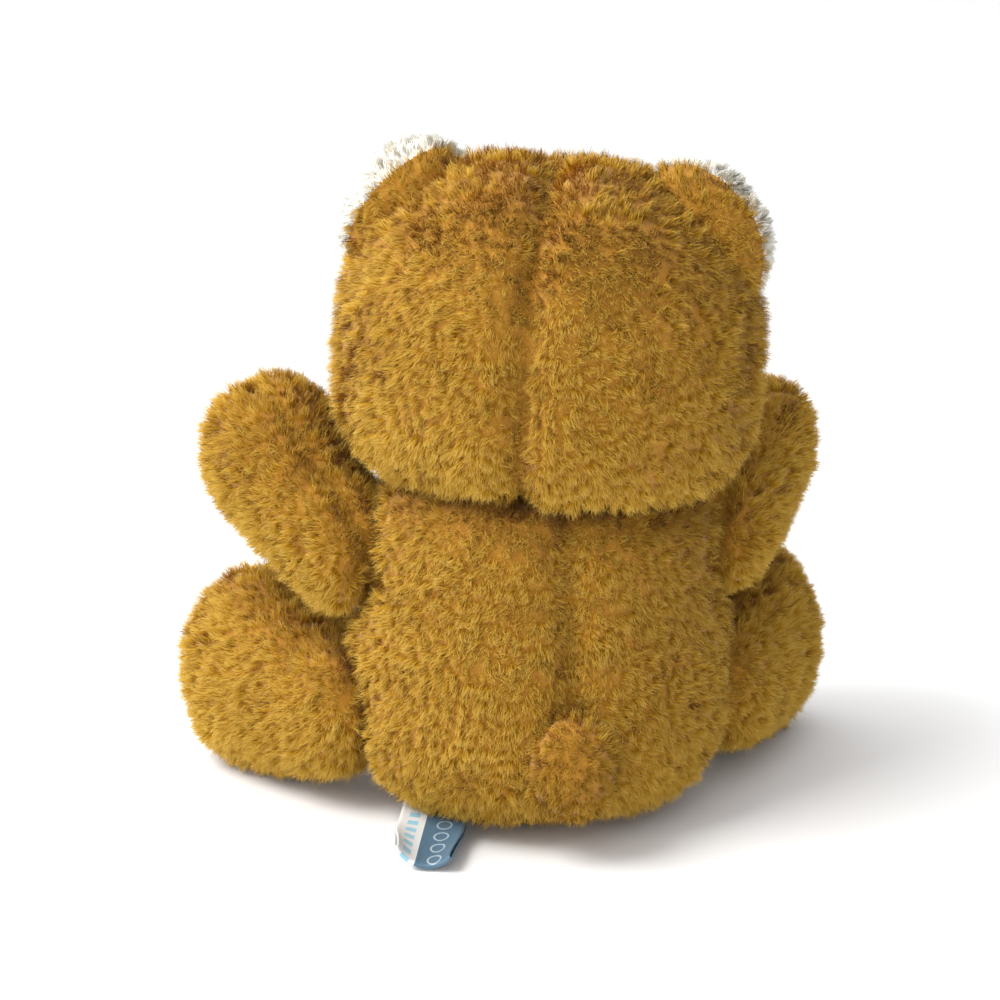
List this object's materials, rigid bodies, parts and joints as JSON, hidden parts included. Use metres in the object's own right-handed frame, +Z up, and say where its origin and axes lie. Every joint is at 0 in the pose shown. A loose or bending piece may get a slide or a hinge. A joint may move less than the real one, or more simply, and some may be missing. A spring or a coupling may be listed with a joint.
{
  "type": "jointed teddy bear",
  "caption": "Sitting plush teddy bear with disc-jointed head, arms and legs, stuffed torso, cream muzzle, paw pads and soles, and a sewn-in label loop.",
  "frame": {"origin": "on the floor under the neck joint", "axes": "+Z up, the bear faces -Y, and its own left side is +X"},
  "size_m": [0.2016, 0.1302, 0.1977],
  "materials": {
    "golden_plush": "long soft pile",
    "cream_plush": "short soft pile",
    "polyester_filling": "loose fibre",
    "bag_cloth": "plain woven cotton",
    "woven_label": "woven satin",
    "eye_plastic": "polished",
    "nose_plastic": "flocked",
    "dark_thread": "embroidery thread",
    "white_plastic": "moulded",
    "spring_steel": "stamped"
  },
  "bodies": {
    "torso": {"body_back_left": "golden_plush", "body_back_right": "golden_plush", "body_front": "golden_plush", "seat_panel": "golden_plush", "body_stuffing": "polyester_filling", "pellet_bag": "bag_cloth", "tail": "golden_plush", "label_loop": "woven_label", "neck_washer": "white_plastic", "left_shoulder_washer": "white_plastic", "left_hip_washer": "white_plastic", "right_shoulder_washer": "white_plastic", "right_hip_washer": "white_plastic"},
    "head": {"head_back_left": "golden_plush", "head_back_right": "golden_plush", "face_panel": "golden_plush", "head_stuffing": "polyester_filling", "muzzle": "cream_plush", "left_ear_back": "golden_plush", "right_ear_back": "golden_plush", "left_ear_lining": "cream_plush", "right_ear_lining": "cream_plush", "left_eye": "eye_plastic", "right_eye": "eye_plastic", "eye_washers": "white_plastic", "nose": "nose_plastic", "nose_washer": "white_plastic", "mouth_stitch": "dark_thread", "neck_disc": "white_plastic", "neck_lock_washer": "spring_steel"},
    "left_arm": {"left_arm_inner": "golden_plush", "left_arm_outer": "golden_plush", "left_paw_pad": "cream_plush", "left_arm_stuffing": "polyester_filling", "left_shoulder_disc": "white_plastic", "left_shoulder_lock_washer": "spring_steel"},
    "right_arm": {"right_arm_inner": "golden_plush", "right_arm_outer": "golden_plush", "right_paw_pad": "cream_plush", "right_arm_stuffing": "polyester_filling", "right_shoulder_disc": "white_plastic", "right_shoulder_lock_washer": "spring_steel"},
    "left_leg": {"left_leg_inner": "golden_plush", "left_leg_outer": "golden_plush", "left_foot_sole": "cream_plush", "left_leg_stuffing": "polyester_filling", "left_hip_disc": "white_plastic", "left_hip_lock_washer": "spring_steel"},
    "right_leg": {"right_leg_inner": "golden_plush", "right_leg_outer": "golden_plush", "right_foot_sole": "cream_plush", "right_leg_stuffing": "polyester_filling", "right_hip_disc": "white_plastic", "right_hip_lock_washer": "spring_steel"}
  },
  "joints": [
    {"name": "neck_turn", "type": "hinge", "parent": "torso", "child": "head", "pos_m": [0, 0, 0.101], "axis": [0, 0, 1], "continuous": true},
    {"name": "left_shoulder_swing", "type": "hinge", "parent": "torso", "child": "left_arm", "pos_m": [0.047, -0.009, 0.081], "axis": [1, 0, 0], "range_deg": [-150, 30]},
    {"name": "left_hip_swing", "type": "hinge", "parent": "torso", "child": "left_leg", "pos_m": [0.049, -0.015, 0.0302], "axis": [1, 0, 0], "range_deg": [-15, 90]},
    {"name": "right_shoulder_swing", "type": "hinge", "parent": "torso", "child": "right_arm", "pos_m": [-0.047, -0.009, 0.081], "axis": [1, 0, 0], "range_deg": [-150, 15]},
    {"name": "right_hip_swing", "type": "hinge", "parent": "torso", "child": "right_leg", "pos_m": [-0.049, -0.015, 0.0302], "axis": [1, 0, 0], "range_deg": [-15, 90]}
  ]
}
